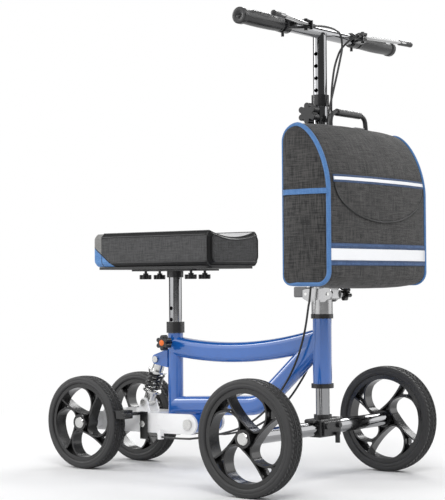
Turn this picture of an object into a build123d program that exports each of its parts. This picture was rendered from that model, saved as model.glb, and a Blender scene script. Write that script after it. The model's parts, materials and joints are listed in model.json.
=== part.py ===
from build123d import *
import math
import os

# Knee scooter with four wheels, a folding steering column, a sprung rear swingarm, a height-adjusted
# knee pad and a front bag.  Millimetres.  X points forward, Y to the rider's left, Z up.
# Everything is drawn with the steering axis at X = 0 and the ground at Z = 0.  write() then moves it
# by stem_x, which puts the origin on the ground under the middle of the scooter.

os.makedirs("parts", exist_ok=True)

# Driving dimensions
stem_x = 269.0
wheelbase = 575.0
front_wheel_r = 114.0
rear_wheel_r = 103.0
front_half_track = 250.0
rear_half_track = 93.0
seat_x = -391.0
bar_z = 923.0
bar_half = 272.0
pad_length, pad_width, pad_top = 340.0, 178.0, 522.0
bag_rear, bag_front, bag_half, bag_bottom, bag_top = 33.0, 140.0, 180.0, 406.0, 718.0

# Fits and clearances
running_gap = 0.06
body_gap = 0.3

# Places shared by several pieces
rear_axle_x = -wheelbase
pivot_x, pivot_z = -316.0, 107.0
fold_x, fold_z = 27.0, 387.0
shock_top = (-434.0, 243.0)
shock_foot = (-470.0, 146.0)
brake_pivot = (-436.0, 103.0)
lever_pivot = (38.0, 104.0)
lever_tip = (66.0, 250.0)
stem_knob_z = 754.0
seat_knob_z = 281.0
column_r = 14.3
stem_r = 16.0
bar_r = 11.0
post_r = 14.3
cable_r = 2.2

pieces = {}


def rod(start, end, radius, bore=0.0):
    """Round bar or tube between two points."""
    a, b = Vector(*start), Vector(*end)
    face = Circle(radius) - Circle(bore) if bore else Circle(radius)
    return extrude(Plane(origin=a, z_dir=b - a) * face, amount=(b - a).length)


def cross_rod(x, z, y_start, y_end, radius, bore=0.0):
    """Round bar or tube along Y."""
    return rod((x, y_start, z), (x, y_end, z), radius, bore)


def block(x, y, z, edge=0.0):
    """Box between pairs of limits, with every edge rounded by edge."""
    size = [high - low for low, high in (x, y, z)]
    middle = [(low + high) / 2 for low, high in (x, y, z)]
    box = Pos(*middle) * Box(*size)
    return fillet(box.edges(), edge) if edge else box


def side_plate(outline, y_low, y_high):
    """Plate cut to a sketch drawn in the XZ plane, between two places along Y."""
    plate = extrude(Plane.XZ * outline, amount=y_high - y_low)
    return Pos(0, y_high, 0) * plate


def mirrored(shape):
    """The same shape on the other side of the scooter."""
    return mirror(shape, about=Plane.XZ)


def polygon(*points):
    """Closed sketch through the points."""
    return make_face(Polyline(*points, close=True))


def group(*shapes):
    """Separate solids written to one file."""
    solids = [solid for shape in shapes for solid in shape.solids()]
    return Compound(children=solids)


def star_knob(centre, direction, radius, thickness, stud_r, stud_length, lobes=6):
    """Moulded knob with round lobes.  Its stud points along direction from the knob's inner face."""
    plane = Plane(origin=Vector(*centre), z_dir=Vector(*direction))
    outline = Circle(radius * 0.66)
    for turn in range(lobes):
        outline += Rot(0, 0, 360 / lobes * turn) * Pos(radius * 0.7, 0) * Circle(radius * 0.3)
    head = extrude(outline, amount=thickness)
    head = fillet(head.faces().sort_by(Axis.Z)[0].edges(), 1.5)
    neck = Pos(0, 0, thickness) * extrude(Circle(radius * 0.42), amount=thickness * 0.35)
    stud = Pos(0, 0, thickness * 1.35) * extrude(Circle(stud_r), amount=stud_length)
    return plane * (head + neck + stud)


def cable(points, radius):
    """Cable along straight runs joined by tangent arcs that are as large as the runs allow."""
    route = [Vector(*point) for point in points]
    runs = [b - a for a, b in zip(route, route[1:])]
    radii = []
    for before, after in zip(runs, runs[1:]):
        turn = math.radians(before.get_angle(after))
        radii.append(0.45 * min(before.length, after.length) / math.tan(turn / 2))
    path = FilletPolyline(*route, radius=radii)
    tube = sweep(Plane(origin=route[0], z_dir=runs[0]) * Circle(radius), path=path)
    print("cable length", round(path.length), "tightest", round(min(radii)),
          "volume ratio", round(tube.volume / (math.pi * radius**2 * path.length), 3))
    return tube


# Wheels: a rim with four petal windows, a tread band, two ball bearings in the hub
wheel = {
    "rim_r": 95.0,
    "window_r": 86.0,
    "ring_overlap": 3.0,
    "ring_half": 15.5,
    "wall_half": 14.0,
    "wall": 3.6,
    "web_half": 3.0,
    "boss_r": 18.0,
    "boss_half": 19.7,
    "cap_ring_r": 13.2,
    "cap_ring": 2.4,
    "bearing_r": 11.0,
    "bearing_width": 7.0,
    "bearing_bore": 4.0,
    "axle_r": 3.95,
    "cap_r": 12.6,
    "tyre_half": 18.5,
    "shoulder": 6.0,
}


def petal():
    """One window of the rim, seen from outside, for the larger wheel.  The rim's ring trims its outer end."""
    left = ThreePointArc((-43, 80), (-17, 44), (9, 21.5))
    tip = ThreePointArc((9, 21.5), (28, 15.5), (42, 26))
    right = ThreePointArc((42, 26), (48.5, 48), (42, 69))
    shoulder = ThreePointArc((42, 69), (30, 78.6), (14, 84.85))
    outer_end = ThreePointArc((14, 84.85), (-14, 91), (-43, 80))
    return make_face([left, tip, right, shoulder, outer_end])


def rim_solid(k):
    """Rim with its outer face towards -Y, at the origin.  k scales the smaller wheel's outline."""
    w = wheel
    window_r, fused_r = w["window_r"] * k, (w["window_r"] + w["ring_overlap"]) * k

    def plate(sketch, half):
        return extrude(Plane.XZ * sketch, amount=half, both=True)

    spokes = [Rot(0, 0, 90 * turn) for turn in range(4)]
    outline = scale(petal(), k)
    window = outline & Circle(window_r)
    wall = offset(outline, amount=w["wall"]) & Circle(fused_r)
    corner = scale(polygon((54, 37), (54, 57), (68, 45)), k)
    corner = fillet(corner.vertices(), 2.5)
    rim = plate(Circle(w["rim_r"] * k) - Circle(window_r), w["ring_half"])
    rim += plate(Circle(fused_r), w["web_half"])
    rim += plate(Circle(w["boss_r"]), w["boss_half"])
    for spoke in spokes:
        rim += plate(spoke * wall, w["wall_half"])
    rim += Pos(0, -w["boss_half"], 0) * extrude(
        Plane.XZ * (Circle(w["boss_r"]) - Circle(w["cap_ring_r"])), amount=w["cap_ring"])
    for spoke in spokes:
        rim -= plate(spoke * window, w["boss_half"] + 5)
        rim -= plate(spoke * corner, w["boss_half"])
    rim -= plate(Circle(w["bearing_bore"] + 2), w["boss_half"] + 1)
    pocket = plate(Circle(w["bearing_r"]), w["boss_half"] + 0.01)
    middle = plate(Circle(w["bearing_r"] + 1), w["boss_half"] - w["bearing_width"])
    return rim - (pocket - middle)


def tyre_solid(k):
    """Solid rubber tyre at the origin, turned about Y."""
    w = wheel
    outer = front_wheel_r * k
    section = Pos((outer + w["rim_r"] * k) / 2, 0) * Rectangle(outer - w["rim_r"] * k, 2 * w["tyre_half"])
    tread = section.vertices().sort_by(Axis.X)[2:]
    section = fillet(tread, w["shoulder"])
    return Rot(90, 0, 0) * revolve(Plane.XZ * section, axis=Axis.Z)


def bearing_pair():
    """Two ball bearings at the ends of the hub, drawn as plain rings."""
    w = wheel
    ring = extrude(Plane.XZ * (Circle(w["bearing_r"]) - Circle(w["bearing_bore"])),
                   amount=w["bearing_width"])
    inner_end = w["boss_half"] - w["bearing_width"]
    return group(Pos(0, -inner_end, 0) * ring, Pos(0, w["boss_half"], 0) * ring)


def add_wheels():
    """Four wheels.  Those on the left are the same part turned round."""
    for row, x, r, track, spun in (("front", 0, front_wheel_r, front_half_track, 0),
                                   ("rear", rear_axle_x, rear_wheel_r, rear_half_track, -22)):
        k = r / front_wheel_r
        rim, tyre, bearings = Rot(0, spun, 0) * rim_solid(k), tyre_solid(k), bearing_pair()
        for side, y, turn in (("right", -track, 0), ("left", track, 180)):
            place = Pos(x, y, r) * Rot(0, 0, turn)
            pieces[f"{row}_rim_{side}"] = place * rim
            pieces[f"{row}_tyre_{side}"] = place * tyre
            pieces[f"{row}_bearings_{side}"] = group(place * bearings)


def frame_tube(*points, radius, tall, wide):
    """Flattened tube in the scooter's middle plane, on straight runs joined by arcs."""
    route = [Vector(x, 0, z) for x, z in points]
    path = FilletPolyline(*route, radius=radius)
    section = Plane(origin=route[0], x_dir=(0, 1, 0), z_dir=route[1] - route[0])
    return sweep(section * RectangleRounded(wide, tall, wide * 0.42), path=path)


# Main frame and headset
head_bottom, head_top, head_r, head_bore = 204.0, 337.0, 19.5, 16.6
seat_tube_r, seat_tube_bore, seat_tube_bottom, seat_tube_top = 17.0, 14.9, 122.0, 302.0


def add_frame():
    """Welded frame: head tube, bowed top tube, bent down tube, seat tube, pivot lug and shock ears."""
    head = rod((0, 0, head_bottom), (0, 0, head_top), head_r)
    seat = rod((seat_x, 0, seat_tube_bottom), (seat_x, 0, seat_tube_top), seat_tube_r)
    bow = ThreePointArc((seat_x, 0, 273), (-232, 0, 262.5), (-4, 0, 296))
    section = Plane(origin=bow @ 0, x_dir=(0, 1, 0), z_dir=bow % 0)
    top = sweep(section * RectangleRounded(34, 43, 13), path=bow)
    down = frame_tube((-4, 290), (-158, 152), (seat_x, 141), radius=75, tall=42, wide=34)
    lug_r, lug_half = 20.0, 43.7
    lug = cross_rod(pivot_x, pivot_z, -lug_half, lug_half, lug_r)
    web = block((pivot_x - 18, pivot_x + 18), (-12, 12), (pivot_z, 140))
    ear_outline = make_face([
        Polyline((seat_x - 10, 266), (shock_top[0] - 2, shock_top[1] + 11)),
        ThreePointArc((shock_top[0] - 2, shock_top[1] + 11), (shock_top[0] - 11, shock_top[1]),
                      (shock_top[0] - 2, shock_top[1] - 11)),
        Polyline((shock_top[0] - 2, shock_top[1] - 11), (seat_x - 10, 226), (seat_x - 10, 266)),
    ])
    ears = side_plate(ear_outline, 13, 17) + side_plate(ear_outline, -17, -13)
    frame = head + seat + top + down + lug + web + ears
    frame -= rod((0, 0, head_bottom - 1), (0, 0, head_top + 1), head_bore)
    frame -= rod((seat_x, 0, seat_tube_bottom + 8), (seat_x, 0, seat_tube_top + 1), seat_tube_bore)
    frame -= cross_rod(pivot_x, pivot_z, -lug_half - 1, lug_half + 1, 5.95)
    frame -= cross_rod(shock_top[0], shock_top[1], -20, 20, 4)
    frame -= cross_rod(seat_x, seat_knob_z, -30, 0, 4.1)
    pieces["main_frame"] = frame

    cup_r, race_r, race_gap = 23.0, 15.8, 0.06
    flange, insert = 9.0, 10.0
    bearings = []
    for name, z, way in (("headset_upper_cup", head_top, 1), ("headset_lower_cup", head_bottom, -1)):
        rim = rod((0, 0, z), (0, 0, z + way * flange), cup_r, race_r)
        sleeve = rod((0, 0, z), (0, 0, z - way * insert), head_bore, race_r)
        pieces[name] = rim + sleeve
        bearings.append(rod((0, 0, z + way * 2), (0, 0, z - way * 6), race_r, column_r + race_gap))
    pieces["headset_bearings"] = group(*bearings)


# Steering column, fold joint and front axle
base_r, base_bottom, base_top = 22.0, 346.3, 375.0
ear_inner, ear_outer = 15.0, 20.0
axle_tube_r, axle_tube_half = 14.5, 226.0


def add_steering():
    """Column through the headset, the fold joint's base on top and the front axle below."""
    pieces["steering_column"] = rod((0, 0, 133), (0, 0, 366), column_r, 11.5)

    base = rod((0, 0, base_bottom), (0, 0, base_top), base_r, column_r)
    base -= rod((0, 0, 366), (0, 0, base_top + 1), column_r)
    floor = rod((0, 0, 366), (0, 0, base_top), column_r)
    ear = make_face([
        Polyline((fold_x, fold_z - 11), (20, base_top - 4), (-20, base_top - 4), (-34, base_top + 3), (-34, 395),
                 (-24, 398), (fold_x, fold_z + 11)),
        ThreePointArc((fold_x, fold_z + 11), (fold_x + 11, fold_z), (fold_x, fold_z - 11)),
    ])
    lip = block((-22, 22), (-ear_outer, ear_outer), (base_top - 8, base_top))
    lip &= rod((0, 0, base_bottom), (0, 0, base_top), base_r)
    ears = side_plate(ear, ear_inner, ear_outer) + side_plate(ear, -ear_outer, -ear_inner)
    base = base + floor + lip + ears
    base -= cross_rod(fold_x, fold_z, -30, 30, 4)
    base -= cross_rod(-27, 387, -30, 30, 3)
    pieces["fold_base"] = base
    pin = cross_rod(fold_x, fold_z, -18, 31, 4) + cross_rod(fold_x, fold_z, 20, 23, 7)
    pieces["fold_pins"] = group(pin, cross_rod(-27, 387, -20, 20, 3))

    tube = cross_rod(0, front_wheel_r, -axle_tube_half, axle_tube_half, axle_tube_r, 11.5)
    pieces["front_axle_tube"] = tube
    saddle = block((-20, 20), (-38, 38), (97, 133), 3)
    saddle += rod((0, 0, 133), (0, 0, 141), 18.5, column_r)
    for y in (-46, 46):
        saddle += block((-9, 13), (y - 8, y + 8), (127, 133), 1.5)
    saddle -= cross_rod(0, front_wheel_r, -60, 60, axle_tube_r)
    saddle += block((19, 24), (-30, 30), (100, 128), 1.5)
    for y in (-22, 22):
        saddle += rod((24, y, 119), (29, y, 119), 5.5)
    saddle += rod((28, 12, 84), (28, 12, 106), 5.0)
    pieces["front_axle_saddle"] = saddle

    w = wheel
    inner_face = front_half_track - w["boss_half"] - body_gap
    outer_face = front_half_track + w["boss_half"] + body_gap
    stub = cross_rod(0, front_wheel_r, 200, axle_tube_half, 11.5)
    stub += cross_rod(0, front_wheel_r, axle_tube_half, inner_face, 8)
    stub += cross_rod(0, front_wheel_r, inner_face, outer_face, w["axle_r"])
    stub += axle_cap(0, front_wheel_r, outer_face)
    pieces["front_axle_stubs"] = group(stub, mirrored(stub))


def axle_cap(x, z, y):
    """Domed nut on the outer end of an axle, on the left side."""
    cap = cross_rod(x, z, y, y + 4, wheel["cap_r"])
    return chamfer(cap.edges().filter_by(GeomType.CIRCLE).sort_by(Axis.Y)[-1], 1.6)


# Quick-release lever and hand knob of the fold joint
def add_fold_parts():
    """Cam lever behind the fold joint and the star knob on the end of its pin."""
    hub = cross_rod(-27, 387, -12, 12, 7)
    paddle = block((-63, -30), (-12, 12), (380, 402), 3)
    lever = hub + paddle - block((-29.7, -15), (-13, 13), (395.2, 410)) - cross_rod(-27, 387, -13, 13, 3.06)
    pieces["fold_lever"] = lever
    knob = star_knob((fold_x, 52, fold_z), (0, -1, 0), 14, 14, 7, 3, 5)
    knob -= cross_rod(fold_x, fold_z, 20, 40, 4 + running_gap)
    pieces["fold_knob"] = knob


# Folding stem and everything fixed to it
collar_bottom, collar_top, collar_r = 771.0, 795.0, 18.0


def add_stem():
    """Stem block, outer tube, collar, its clamp knob and the bag bracket."""
    top_z = 404.0
    half = ear_inner - body_gap
    stem_block = block((-18, 34), (-half, half), (base_top + body_gap, top_z))
    corner = block((20, 40), (-20, 20), (370, 387))
    stem_block -= corner - cross_rod(fold_x, fold_z, -20, 20, 11)
    stem_block -= block((30, 40), (-20, 20), (396, 410))
    stem_block += rod((0, 0, 399), (0, 0, 406), 21)
    stem_block -= cross_rod(fold_x, fold_z, -20, 20, 4 + running_gap)
    pieces["stem_block"] = stem_block
    tube = rod((0, 0, 406), (0, 0, collar_top - 12), stem_r, column_r + 0.6)
    tube -= rod((0, 0, stem_knob_z), (0, -30, stem_knob_z), 4.1)
    pieces["stem_outer_tube"] = tube
    collar = rod((0, 0, collar_bottom), (0, 0, collar_top), collar_r, column_r + running_gap)
    collar -= rod((0, 0, collar_bottom - 1), (0, 0, collar_top - 12), stem_r)
    pieces["stem_collar"] = collar
    pieces["stem_knob"] = star_knob((0, -50, stem_knob_z), (0, 1, 0), 22, 18, 4, 10.5)
    bracket = None
    for z in (470, 655):
        ring = rod((0, 0, z), (0, 0, z + 20), stem_r + 2.5, stem_r)
        arms = block((6, bag_rear), (13.4, 17.4), (z, z + 20)) + block((6, bag_rear), (-17.4, -13.4), (z, z + 20))
        arms -= rod((0, 0, z), (0, 0, z + 20), stem_r)
        bracket = ring + arms if bracket is None else group(bracket, ring + arms)
    pieces["bag_brackets"] = bracket


def add_bag():
    """Soft front bag as a plain closed body, and its carrying handle."""
    outline = make_face([
        Line((bag_rear, bag_bottom + 16), (bag_rear, bag_top - 34)),
        ThreePointArc((bag_rear, bag_top - 34), (bag_rear + 9, bag_top - 9), (bag_rear + 34, bag_top)),
        ThreePointArc((bag_rear + 34, bag_top), (bag_front - 43.6, bag_top - 22.9), (bag_front, bag_top - 128)),
        Line((bag_front, bag_top - 128), (bag_front, bag_bottom + 22)),
        ThreePointArc((bag_front, bag_bottom + 22), (bag_front - 6.5, bag_bottom + 6.5), (bag_front - 22, bag_bottom)),
        Line((bag_front - 22, bag_bottom), (bag_rear + 16, bag_bottom)),
        ThreePointArc((bag_rear + 16, bag_bottom), (bag_rear + 4.7, bag_bottom + 4.7), (bag_rear, bag_bottom + 16)),
    ])
    pieces["bag_body"] = side_plate(outline, -bag_half, bag_half)
    handle_x, half, low, high = 68.0, 66.0, bag_top - 2, 752.0
    route = FilletPolyline((handle_x, -half, low), (handle_x, -half + 14, high),
                           (handle_x, half - 14, high), (handle_x, half, low), radius=14)
    section = Plane(origin=route @ 0, z_dir=route % 0) * Circle(5)
    pieces["bag_handle"] = sweep(section, path=route) - pieces["bag_body"]


# Handlebar, grips and brake levers
grip_start, grip_r, grip_end_r = 140.0, 15.5, 17.0
clamp_start, clamp_end = 116.0, 134.0
fork_low, fork_high = 914.0, 932.0
blade_low, blade_high = 919.5, 926.5


def add_handlebar():
    """Sliding stem with its crossbar, two grips, two lever mounts and two blades."""
    bar = cross_rod(0, bar_z, -bar_half + 4, bar_half - 4, bar_r)
    upright = rod((0, 0, 520), (0, 0, bar_z), column_r)
    bar = bar + upright
    bar -= rod((0, 0, 519), (0, 0, bar_z - bar_r - 6), 11.8)
    holes = [rod((0, 0, z), (0, -30, z), 4.3) for z in range(604, 880, 25)]
    for hole in holes:
        bar -= hole
    pieces["handlebar"] = bar

    grip = cross_rod(0, bar_z, grip_start, bar_half - 8, grip_r)
    grip += cross_rod(0, bar_z, bar_half - 12, bar_half + 2, grip_end_r)
    grip -= cross_rod(0, bar_z, grip_start - 1, bar_half - 4, bar_r)

    mount = cross_rod(0, bar_z, clamp_start, clamp_end, bar_r + 4.5)
    px, py = lever_pivot
    arm = make_face(Polyline((0, clamp_start), (px - 6, py - 9), (px + 6, py - 9), (px + 9, py + 4),
                             (px, py + 10), (14, clamp_end), (0, clamp_end), close=True))
    mount += Pos(0, 0, fork_low) * extrude(arm, amount=fork_high - fork_low)
    mount -= cross_rod(0, bar_z, py - 20, clamp_end + 1, bar_r)
    slot = block((17.5, px + 20), (py - 9, clamp_end + 5), (blade_low - body_gap, blade_high + body_gap))
    mount -= slot
    mount += block((px - 4, px + 9), (py - 12, py - 9), (fork_low, fork_high))
    mount += rod((px + 3, py - 12, bar_z), (px + 3, py - 24, bar_z), 4.2)
    mount += rod((px, py, fork_low - 3), (px, py, fork_high + 3), 3.5)
    mount += rod((-4, clamp_start + 9, bar_z - 22), (-4, clamp_start + 9, bar_z - 13), 3.0)

    tx, ty = lever_tip
    blade = make_face([
        Spline((px - 6.5, py - 3), (px - 3, py + 9), (px + 12, py + 60), (tx - 5, ty)),
        Line((tx - 5, ty), (tx + 5, ty)),
        Spline((tx + 5, ty), (px + 23, py + 60), (px + 9, py + 9), (px + 6.5, py - 3)),
        ThreePointArc((px + 6.5, py - 3), (px, py - 7.2), (px - 6.5, py - 3)),
    ])
    lever = Pos(0, 0, blade_low) * extrude(blade, amount=blade_high - blade_low)
    lever += rod((tx, ty - 2, bar_z), (tx, ty + 6, bar_z), 6.5)
    lever -= rod((px, py, blade_low - 1), (px, py, blade_high + 1), 3.5 + running_gap)
    for side, place in (("left", lambda shape: shape), ("right", mirrored)):
        pieces[f"grip_{side}"] = place(grip)
        pieces[f"lever_mount_{side}"] = place(mount)
        pieces[f"brake_lever_{side}"] = place(lever)


# Seat
post_bottom, plate_low, plate_high = 212.0, 438.0, 442.0


def add_seat():
    """Seat post with height holes, its collar and knob, the pad plate, board, pad and pad knobs."""
    post = rod((seat_x, 0, post_bottom), (seat_x, 0, plate_low), post_r, 11.6)
    for z in range(231, 380, 25):
        post -= rod((seat_x, 0, z), (seat_x, -30, z), 4.3)
    pieces["seat_post"] = post
    collar = rod((seat_x, 0, seat_tube_top), (seat_x, 0, 326), 20, post_r + running_gap)
    collar -= block((seat_x - 22, seat_x - 12), (-1.5, 1.5), (seat_tube_top + 6, 327))
    pieces["seat_collar"] = collar
    pieces["seat_knob"] = star_knob((seat_x, -48, seat_knob_z), (0, 1, 0), 17, 16, 4, 10.8)

    plate = block((seat_x - 92, seat_x + 92), (-48, 48), (plate_low, plate_high))
    plate = fillet(plate.edges().filter_by(Axis.Z), 12)
    plate += rod((seat_x, 0, plate_low - 14), (seat_x, 0, plate_low), post_r + 4, post_r)
    board = block((seat_x - 160, seat_x + 160), (-80, 80), (plate_high, plate_high + 6))
    board = fillet(board.edges().filter_by(Axis.Z), 12)
    knobs = []
    for x in (seat_x - 65, seat_x + 65):
        for y in (-24, 24):
            hole = rod((x, y, plate_low - 1), (x, y, plate_high + 6), 3)
            plate -= hole
            board -= hole
            knobs.append(star_knob((x, y, 420), (0, 0, 1), 14, 10, 3, plate_high + 6 - 433.5, 5))
    pieces["pad_plate"] = plate
    pieces["pad_board"] = board
    pieces["pad_knobs"] = group(*knobs)

    half, dip = pad_width / 2, 13.0
    low = plate_high + 6
    section = make_face([
        Polyline((-half + 40, low), (-half, low), (-half, pad_top - 8), (-half + 8, pad_top)),
        ThreePointArc((-half + 8, pad_top), (0, pad_top - dip), (half - 8, pad_top)),
        Polyline((half - 8, pad_top), (half, pad_top - 8), (half, low), (-half + 40, low)),
    ])
    pad = extrude(Plane.YZ * section, amount=pad_length / 2, both=True)
    pieces["knee_pad"] = Pos(seat_x, 0, 0) * pad


# Rear swingarm, axle, brakes and shock absorber
arm_inner, arm_outer, arm_r = 44.0, 50.0, 22.0


def add_swingarm():
    """Pressed-steel swingarm on a cross bolt, with the rear axle and the brake arms."""
    top_z, low_z = pivot_z + arm_r, pivot_z - arm_r
    outline = make_face([
        ThreePointArc((pivot_x, low_z), (pivot_x + arm_r, pivot_z), (pivot_x, top_z)),
        Polyline((pivot_x, top_z), (rear_axle_x - 14, rear_wheel_r + 21), (rear_axle_x - 22, rear_wheel_r + 10),
                 (rear_axle_x - 22, rear_wheel_r - 10), (rear_axle_x - 14, rear_wheel_r - 20), (pivot_x, low_z)),
    ])
    arm = side_plate(outline, arm_inner, arm_outer) + side_plate(outline, -arm_outer, -arm_inner)
    arm += block((rear_axle_x + 8, -415), (-arm_inner, arm_inner), (top_z - 6.5, top_z - 2))
    arm += block((rear_axle_x - 16, rear_axle_x + 16), (-arm_inner, arm_inner), (rear_wheel_r - 16, rear_wheel_r + 16))
    for y in (-17.4, 13.4):
        ear = Pos(*shock_foot) * Circle(10)
        ear += polygon((shock_foot[0] - 10, shock_foot[1]), (shock_foot[0] - 18, 124),
                       (shock_foot[0] + 18, 124), (shock_foot[0] + 10, shock_foot[1]))
        arm += side_plate(ear, y, y + 4)
    sleeve = cross_rod(rear_axle_x, rear_wheel_r, arm_outer, 70, 14)
    stop = block((-392, -384), (arm_outer, 62), (72, 92))
    stop -= rod((-393, 56.5, 77), (-383, 56.5, 77), 1.4)
    for part in (sleeve, stop):
        arm += part + mirrored(part)
    arm -= cross_rod(pivot_x, pivot_z, -60, 60, 9)
    arm -= cross_rod(rear_axle_x, rear_wheel_r, -80, 80, 6)
    arm -= cross_rod(shock_foot[0], shock_foot[1], -20, 20, 4)
    arm -= cross_rod(brake_pivot[0], brake_pivot[1], -60, 60, 4)
    pieces["swingarm"] = arm

    bush = cross_rod(pivot_x, pivot_z, arm_inner, arm_outer, 9, 5.95 + running_gap)
    pieces["swingarm_bushes"] = group(bush, mirrored(bush))
    bolt = cross_rod(pivot_x, pivot_z, -arm_outer - 1, arm_outer + 1, 5.95)
    head = cross_rod(pivot_x, pivot_z, arm_outer + 0.3, arm_outer + 5, 11)
    swing_bolt = bolt + head + mirrored(head)
    ux, uz = shock_top
    eye_bolt = cross_rod(ux, uz, -21, 21, 4) + cross_rod(ux, uz, 17, 21, 7) + cross_rod(ux, uz, -21, -17, 7)
    pieces["frame_pivot_bolts"] = group(swing_bolt, eye_bolt)

    w = wheel
    inner_face = rear_half_track - w["boss_half"] - body_gap
    outer_face = rear_half_track + w["boss_half"] + body_gap
    axle = cross_rod(rear_axle_x, rear_wheel_r, -inner_face, inner_face, 6)
    tip = cross_rod(rear_axle_x, rear_wheel_r, inner_face, outer_face, w["axle_r"])
    tip += axle_cap(rear_axle_x, rear_wheel_r, outer_face)
    pieces["rear_axle"] = axle + tip + mirrored(tip)

    bx, bz = brake_pivot
    strap_in, strap_out = 54.5, 58.5
    strap = block((bx - 10, bx + 10), (strap_in, strap_out), (70, 130), 1.0)
    bar = block((bx - 18, bx - 4), (strap_in, 110), (123, 129), 1.0)
    shoe = block((-476, bx - 12), (80, 108), (116, 134))
    shoe -= cross_rod(rear_axle_x, rear_wheel_r, 60, 120, rear_wheel_r + 2.2)
    brake = strap + bar + shoe - cross_rod(bx, bz, 40, 60, 4 + running_gap)
    bolt = cross_rod(bx, bz, arm_inner, 59, 4) + cross_rod(bx, bz, 59, 63, 7)
    bolt += cross_rod(bx, bz, arm_outer, strap_in - body_gap, 7)
    pieces["brake_arm_left"] = brake
    pieces["brake_arm_right"] = mirrored(brake)
    foot = cross_rod(*shock_foot, -21.4, 21.4, 4)
    foot += cross_rod(*shock_foot, 17.4, 21.4, 7) + cross_rod(*shock_foot, -21.4, -17.4, 7)
    pieces["swingarm_bolts"] = group(bolt, mirrored(bolt), foot)


def add_shock():
    """Coil-over shock absorber: body on the upper bolt, sliding rod on the lower one, coil spring."""
    ux, uz = shock_top
    fx, fz = shock_foot
    length = math.hypot(ux - fx, uz - fz)
    lean = math.degrees(math.atan2(ux - fx, uz - fz))
    perch, body_end, rod_top = 30.0, 55.0, 32.0
    half = 12.6

    # Drawn upright, upper eye at the origin, then leaned and moved into place
    body = cross_rod(0, 0, -half, half, 9) + rod((0, 0, -6), (0, 0, -perch), 13)
    body += rod((0, 0, -perch), (0, 0, -perch + 4), 21) + rod((0, 0, -perch), (0, 0, -body_end), 10)
    body -= rod((0, 0, -14), (0, 0, -body_end - 1), 5 + running_gap)
    body -= cross_rod(0, 0, -20, 20, 4 + running_gap)
    foot_perch = -(length - perch)
    shaft = rod((0, 0, -rod_top), (0, 0, foot_perch), 5) + rod((0, 0, foot_perch), (0, 0, foot_perch - 4), 21)
    shaft += rod((0, 0, foot_perch), (0, 0, -length + 6), 13) + cross_rod(0, -length, -half, half, 9)
    shaft -= cross_rod(0, -length, -20, 20, 4.6)
    coil_r, wire_r, turns = 17.0, 2.4, 4.5
    rise = length - 2 * perch - 2 * wire_r - 0.6
    helix = Helix(pitch=rise / turns, height=rise, radius=coil_r)
    wire = sweep(Plane(origin=helix @ 0, z_dir=helix % 0) * Circle(wire_r), path=helix, is_frenet=True)
    coil = Pos(0, 0, foot_perch + wire_r + 0.3) * wire
    place = Pos(ux, 0, uz) * Rot(0, lean, 0)
    pieces["shock_body"] = place * body
    pieces["shock_rod"] = place * shaft
    pieces["shock_spring"] = place * coil


# Brake cables.  Each is made in lengths, one for each piece that carries it.
bar_route_right = [(41, -79.7, 923), (41, -45, 927), (38, -5, 928), (34, 28, 922), (31, 38, 895), (28, 26, 850),
                   (26.5, 8, 800), (25, -6, 760), (24, -9, 735)]
bar_route_left = [(41, 78.7, 923), (34, 62, 914), (23, 42, 893), (20, 24, 857), (20, 13, 810), (21, 9, 770),
                  (22, 9, 735)]
stem_route = [(23, -9, 625), (21, -18, 602), (13, -28, 572), (5, -32, 530), (0, -33, 485), (-3, -33, 445),
              (-5, -32, 411)]
frame_route = [(-11, -32, 364), (-20, -31, 316), (-36, -29, 268), (-60, -27, 222), (-98, -26, 170),
               (-145, -27, 128), (-195, -30, 102), (-245, -42, 88), (-288, -57, 80)]
rear_route = [(-302, -60, 78), (-330, -59.5, 77), (-358, -57, 76.5), (-383.8, -56.5, 77)]


def add_cables():
    """Two brake cables from the levers down the stem and along the frame to the rear brake arms."""
    pieces["brake_cables_bar"] = group(cable(bar_route_right, cable_r), cable(bar_route_left, cable_r))
    stem = cable(stem_route, cable_r)
    pieces["brake_cables_stem"] = group(stem, mirrored(stem))
    short = rod((-5, -32, 404), (-9, -32, 371), cable_r)
    pieces["brake_cables_column"] = group(short, mirrored(short))
    along = cable(frame_route, cable_r)
    pieces["brake_cables_frame"] = group(along, mirrored(along))
    rear = cable(rear_route, cable_r) + rod((-383.8, -56.5, 77), (-423.4, -56.5, 77), 1.0)
    pieces["brake_cables_rear"] = group(rear, mirrored(rear))


def write():
    """Move every piece to the shared origin and write it."""
    for name, shape in pieces.items():
        moved = [Pos(stem_x, 0, 0) * solid for solid in shape.solids()]
        export_step(moved[0] if len(moved) == 1 else Compound(children=moved), f"parts/{name}.step")
    print(len(pieces), "pieces written")


add_wheels()
add_frame()
add_steering()
add_fold_parts()
add_stem()
add_bag()
add_handlebar()
add_seat()
add_swingarm()
add_shock()
add_cables()
write()
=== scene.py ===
# Knee scooter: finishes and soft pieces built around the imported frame.  Metres, X forward, Z up.
import json
import math

import bmesh
import bpy
import numpy as np
from mathutils import Matrix, Vector


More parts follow.
